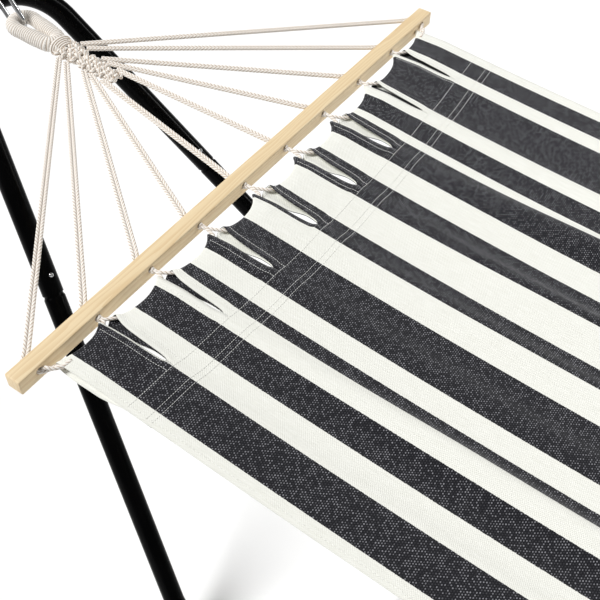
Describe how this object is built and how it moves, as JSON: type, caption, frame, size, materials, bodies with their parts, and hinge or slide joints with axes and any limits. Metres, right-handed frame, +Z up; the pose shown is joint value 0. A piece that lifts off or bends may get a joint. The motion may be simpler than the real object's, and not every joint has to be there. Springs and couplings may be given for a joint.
{
  "type": "hammock on stand",
  "caption": "Spreader-bar hammock of striped canvas, hung by rope fans and steel hooks between the arched ends of a black tubular steel stand.",
  "frame": {"origin": "on the floor, under the middle of the bed", "axes": "+X along the hammock towards its foot end, +Y across the bed, +Z up"},
  "size_m": [3.3544, 1.1, 1.11],
  "materials": {
    "black_steel": "satin black powder coat",
    "bright_steel": "polished, zinc plated",
    "pine": "smooth pale pine, clear oiled",
    "cotton_rope": "off-white cotton cord",
    "canvas": "woven canvas in off-white and charcoal stripes",
    "rubber": "matt black"
  },
  "bodies": {
    "stand": {"head_arch_tube": "black_steel", "head_left_leg": "black_steel", "head_right_leg": "black_steel", "head_cross_tube": "black_steel", "foot_arch_tube": "black_steel", "foot_left_leg": "black_steel", "foot_right_leg": "black_steel", "foot_cross_tube": "black_steel", "left_side_rail": "black_steel", "right_side_rail": "black_steel", "head_left_foot": "rubber", "head_right_foot": "rubber", "foot_left_foot": "rubber", "foot_right_foot": "rubber", "head_left_heel_foot": "rubber", "head_right_heel_foot": "rubber", "foot_left_heel_foot": "rubber", "foot_right_heel_foot": "rubber", "head_left_arch_screw": "bright_steel", "head_right_arch_screw": "bright_steel", "head_left_rail_screw": "bright_steel", "head_right_rail_screw": "bright_steel", "head_left_cross_bolt": "bright_steel", "head_right_cross_bolt": "bright_steel", "foot_left_arch_screw": "bright_steel", "foot_right_arch_screw": "bright_steel", "foot_left_rail_screw": "bright_steel", "foot_right_rail_screw": "bright_steel", "foot_left_cross_bolt": "bright_steel", "foot_right_cross_bolt": "bright_steel", "head_s_hook": "bright_steel", "foot_s_hook": "bright_steel"},
    "hammock": {"bed": "canvas", "head_spreader_bar": "pine", "foot_spreader_bar": "pine", "head_rope_eye": "cotton_rope", "foot_rope_eye": "cotton_rope", "head_clew": "cotton_rope", "foot_clew": "cotton_rope", "head_rope_01": "cotton_rope", "head_rope_02": "cotton_rope", "head_rope_03": "cotton_rope", "head_rope_04": "cotton_rope", "head_rope_05": "cotton_rope", "head_rope_06": "cotton_rope", "head_rope_07": "cotton_rope", "head_rope_08": "cotton_rope", "head_rope_09": "cotton_rope", "head_rope_10": "cotton_rope", "foot_rope_01": "cotton_rope", "foot_rope_02": "cotton_rope", "foot_rope_03": "cotton_rope", "foot_rope_04": "cotton_rope", "foot_rope_05": "cotton_rope", "foot_rope_06": "cotton_rope", "foot_rope_07": "cotton_rope", "foot_rope_08": "cotton_rope", "foot_rope_09": "cotton_rope", "foot_rope_10": "cotton_rope"}
  },
  "joints": [
    {"name": "hammock_swing", "type": "hinge", "parent": "stand", "child": "hammock", "pos_m": [0, 0, 1.0476], "axis": [1, 0, 0], "range_deg": [-20, 20]}
  ]
}
